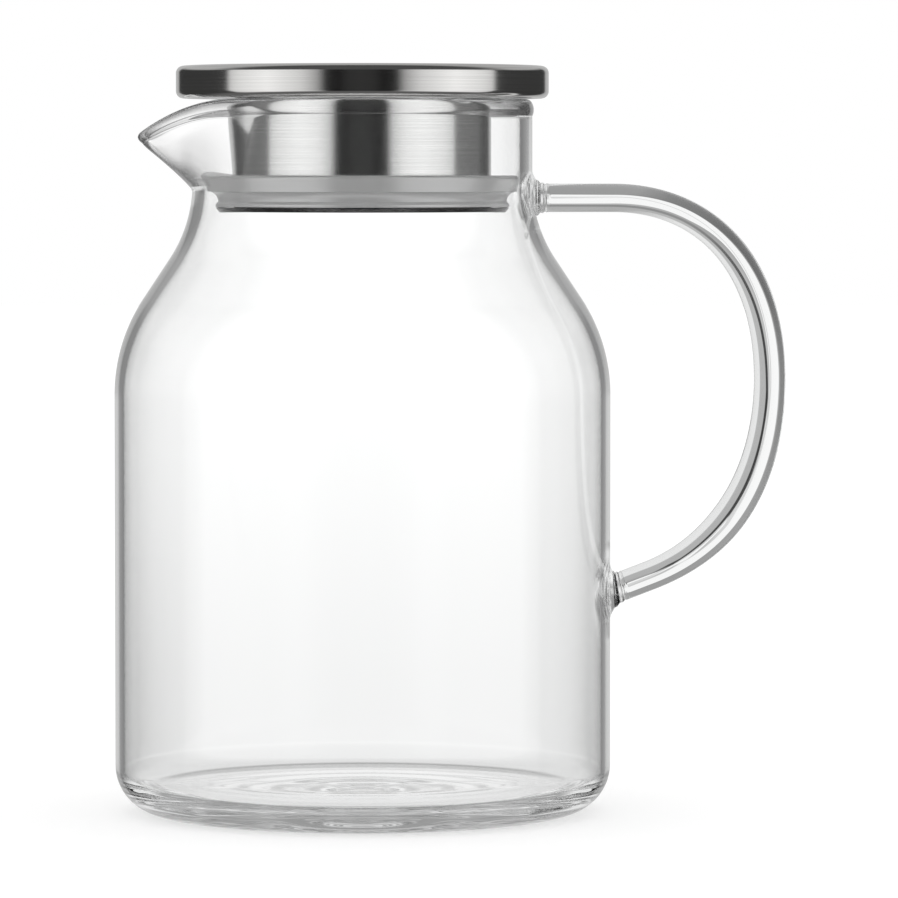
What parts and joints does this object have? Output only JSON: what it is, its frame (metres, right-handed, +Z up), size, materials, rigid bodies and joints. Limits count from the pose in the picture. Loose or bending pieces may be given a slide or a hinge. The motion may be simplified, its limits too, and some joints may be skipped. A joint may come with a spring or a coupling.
{
  "type": "glass pitcher with lid",
  "caption": "Clear glass pitcher with a pinched pouring lip, a fused rod handle and a lift-off brushed steel lid on a sleeve with a silicone ring.",
  "frame": {"origin": "centre of the base, on the surface that the pitcher stands on", "axes": "+Z up along the vessel's axis, +X towards the handle, -X towards the pouring lip"},
  "size_m": [0.1895, 0.14, 0.2107],
  "materials": {
    "vessel_glass": "clear blown borosilicate, fire-polished rim",
    "handle_glass": "clear drawn rod, fused on at both ends",
    "cap_steel": "satin brushed, polished edge",
    "sleeve_steel": "brushed round the tube",
    "plate_steel": "satin pressed sheet",
    "silicone": "translucent grey silicone, matt"
  },
  "bodies": {
    "vessel": {"glass_body": "vessel_glass", "glass_handle": "handle_glass"},
    "ring": {"seal_ring": "silicone"},
    "lid": {"lid_cap": "cap_steel", "lid_underplate": "plate_steel", "lid_sleeve": "sleeve_steel", "lid_base_plate": "plate_steel"}
  },
  "joints": [
    {"name": "lid_lift", "type": "slide", "parent": "vessel", "child": "ring", "axis": [0, 0, 1], "range_m": [0, 0.08]},
    {"name": "lid_turn", "type": "hinge", "parent": "ring", "child": "lid", "pos_m": [0, 0, 0.2], "axis": [0, 0, 1], "continuous": true}
  ]
}
